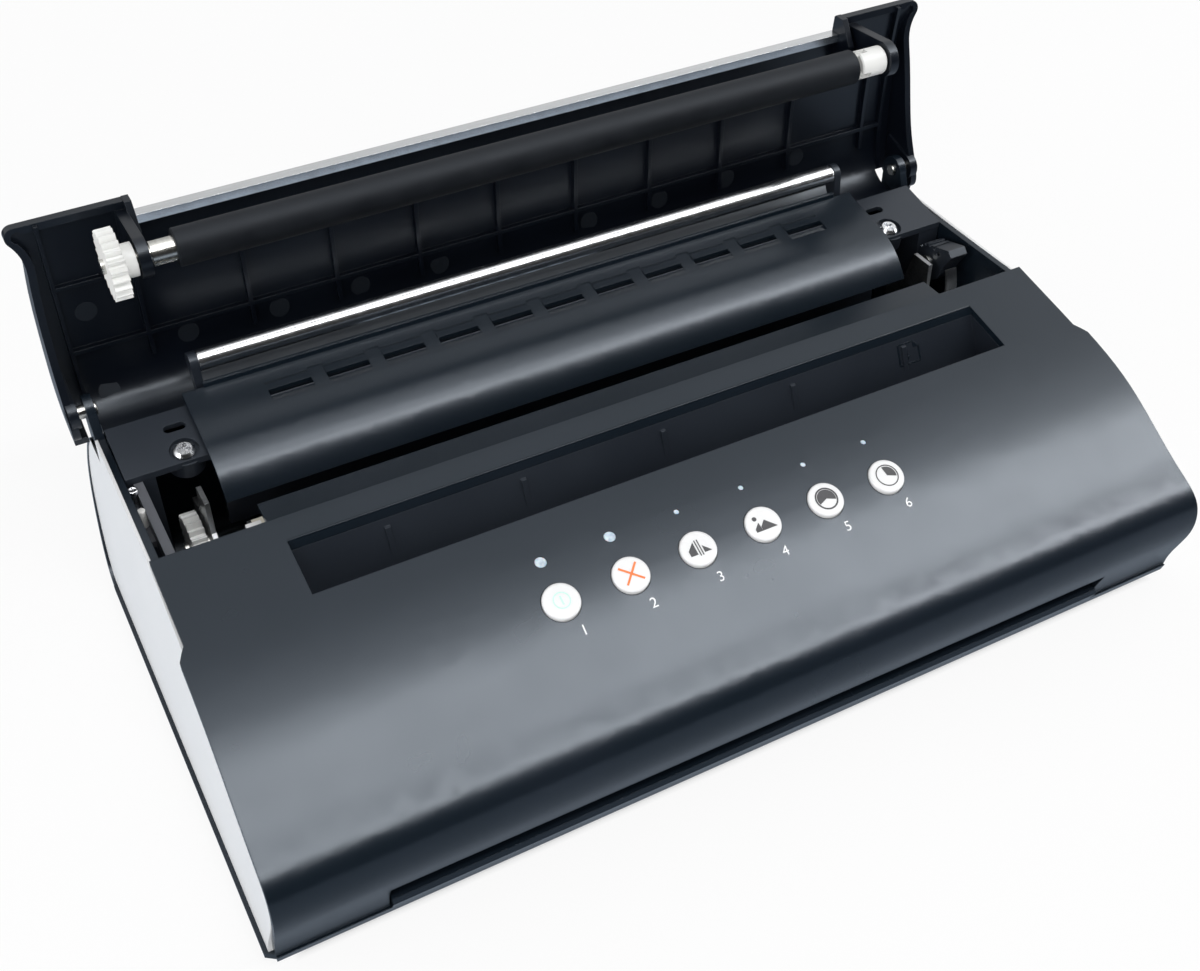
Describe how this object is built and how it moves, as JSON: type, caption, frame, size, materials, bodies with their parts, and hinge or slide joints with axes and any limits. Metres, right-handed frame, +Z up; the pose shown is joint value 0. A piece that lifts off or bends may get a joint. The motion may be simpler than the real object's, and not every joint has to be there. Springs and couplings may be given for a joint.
{
  "type": "thermal stencil copier",
  "caption": "Desktop thermal copier with a feed trough, six keys, a windowed paper guide and a hinged rear cover that carries the platen roller.",
  "frame": {"origin": "on the table under the centre of the machine's box with the cover open", "axes": "+X to the right side seen from the front, +Y to the back where the cover stands, +Z up"},
  "size_m": [0.2926, 0.1693, 0.1311],
  "materials": {
    "housing_black": "fine satin moulded black plastic",
    "cover_black": "satin moulded black plastic, slightly smoother than the housing",
    "inner_black": "dark matt plastic of the inner pieces",
    "guide_black": "semi-gloss black plastic, worn smooth by paper",
    "panel_white": "glossy white moulded plastic",
    "button_white": "glossy white key caps with dark printed signs",
    "lamp_lens": "milky light guide",
    "bright_strip": "polished strip with a tear edge",
    "polished_rod": "polished plated rod",
    "roller_rubber": "ground black rubber",
    "shaft_steel": "turned steel",
    "gear_white": "white acetal",
    "sheet_steel": "plated sheet steel",
    "screw_steel": "zinc plated screws",
    "motor_steel": "plated motor can",
    "heat_sink": "extruded aluminium",
    "head_ceramic": "glazed ceramic strip",
    "scan_window": "clear glass",
    "circuit_green": "printed circuit board",
    "foot_rubber": "soft rubber",
    "rail_grey": "grey plastic"
  },
  "bodies": {
    "base": {"base_tray": "housing_black", "top_housing": "housing_black", "feed_trough": "inner_black", "side_panel_left": "panel_white", "side_panel_right": "panel_white", "rear_frame": "inner_black", "paper_guide": "guide_black", "guide_rod": "polished_rod", "rod_brackets": "inner_black", "hinge_pins": "shaft_steel", "idler_studs": "shaft_steel", "gear_side_plate": "sheet_steel", "plain_side_plate": "sheet_steel", "stepper_motor": "motor_steel", "scan_bar": "inner_black", "scan_glass": "scan_window", "main_board": "circuit_green", "key_board": "circuit_green", "lamp_lenses": "lamp_lens", "small_lamp_lenses": "lamp_lens", "power_inlet": "inner_black", "frame_screws": "screw_steel", "base_screws": "screw_steel", "rubber_feet": "foot_rubber", "bay_rail": "rail_grey", "catch_pin": "shaft_steel", "catch_spring": "sheet_steel", "bay_shield": "sheet_steel", "paper_sensor": "button_white", "head_springs": "shaft_steel"},
    "cover": {"cover": "cover_black", "tear_strip": "bright_strip"},
    "platen": {"platen_rubber": "roller_rubber", "platen_shaft": "shaft_steel", "platen_bush": "gear_white", "platen_gear": "gear_white"},
    "print_head": {"head_heat_sink": "heat_sink", "thermal_head": "head_ceramic"},
    "feed_roller": {"feed_rubber": "roller_rubber", "feed_shaft": "shaft_steel", "feed_gear": "gear_white"},
    "second_idler": {"idler_second": "gear_white"},
    "first_idler": {"idler_first": "gear_white"},
    "motor_rotor": {"motor_pinion": "shaft_steel"},
    "high_idler": {"idler_high": "gear_white"},
    "catch": {"catch_lever": "inner_black"},
    "key_1": {"button_1": "button_white"},
    "key_2": {"button_2": "button_white"},
    "key_3": {"button_3": "button_white"},
    "key_4": {"button_4": "button_white"},
    "key_5": {"button_5": "button_white"},
    "key_6": {"button_6": "button_white"}
  },
  "joints": [
    {"name": "cover_hinge", "type": "hinge", "parent": "base", "child": "cover", "pos_m": [0, 0.0678, 0.0725], "axis": [1, 0, 0], "range_deg": [0, 96]},
    {"name": "platen_spin", "type": "hinge", "parent": "cover", "child": "platen", "pos_m": [0, 0.0573, 0.1216], "axis": [1, 0, 0], "continuous": true},
    {"name": "head_press", "type": "slide", "parent": "base", "child": "print_head", "axis": [0, 0, -1], "range_m": [0, 0.0008], "stiffness_N_per_m": 3000, "springref_m": -0.001, "deforming": ["head_springs"]},
    {"name": "feed_spin", "type": "hinge", "parent": "base", "child": "feed_roller", "pos_m": [0, -0.0322, 0.035], "axis": [1, 0, 0], "continuous": true},
    {"name": "second_idler_spin", "type": "hinge", "parent": "base", "child": "second_idler", "pos_m": [-0.1234, -0.01233, 0.03729], "axis": [1, 0, 0], "continuous": true},
    {"name": "first_idler_spin", "type": "hinge", "parent": "base", "child": "first_idler", "pos_m": [-0.1234, 0.00689, 0.02578], "axis": [1, 0, 0], "continuous": true},
    {"name": "motor_spin", "type": "hinge", "parent": "base", "child": "motor_rotor", "pos_m": [-0.1234, 0.02319, 0.02985], "axis": [1, 0, 0], "continuous": true},
    {"name": "high_idler_spin", "type": "hinge", "parent": "base", "child": "high_idler", "pos_m": [-0.1234, 0.03316, 0.04132], "axis": [1, 0, 0], "continuous": true},
    {"name": "catch_turn", "type": "hinge", "parent": "base", "child": "catch", "pos_m": [0.1315, 0.0322, 0.058], "axis": [1, 0, 0], "range_deg": [-14, 0], "stiffness_Nm_per_rad": 0.02, "springref_deg": 17.19},
    {"name": "key_1_press", "type": "slide", "parent": "base", "child": "key_1", "axis": [0, 0.3827, -0.9239], "range_m": [0, 0.0005], "stiffness_N_per_m": 300, "springref_m": -0.001},
    {"name": "key_2_press", "type": "slide", "parent": "base", "child": "key_2", "axis": [0, 0.3827, -0.9239], "range_m": [0, 0.0005], "stiffness_N_per_m": 300, "springref_m": -0.001},
    {"name": "key_3_press", "type": "slide", "parent": "base", "child": "key_3", "axis": [0, 0.3827, -0.9239], "range_m": [0, 0.0005], "stiffness_N_per_m": 300, "springref_m": -0.001},
    {"name": "key_4_press", "type": "slide", "parent": "base", "child": "key_4", "axis": [0, 0.3827, -0.9239], "range_m": [0, 0.0005], "stiffness_N_per_m": 300, "springref_m": -0.001},
    {"name": "key_5_press", "type": "slide", "parent": "base", "child": "key_5", "axis": [0, 0.3827, -0.9239], "range_m": [0, 0.0005], "stiffness_N_per_m": 300, "springref_m": -0.001},
    {"name": "key_6_press", "type": "slide", "parent": "base", "child": "key_6", "axis": [0, 0.3827, -0.9239], "range_m": [0, 0.0005], "stiffness_N_per_m": 300, "springref_m": -0.001}
  ],
  "couplings": [
    {"joint": "second_idler_spin", "follows": "feed_spin", "ratio": -0.78571},
    {"joint": "first_idler_spin", "follows": "feed_spin", "ratio": 0.78571},
    {"joint": "motor_spin", "follows": "feed_spin", "ratio": -1.5714},
    {"joint": "high_idler_spin", "follows": "feed_spin", "ratio": 0.91667}
  ]
}
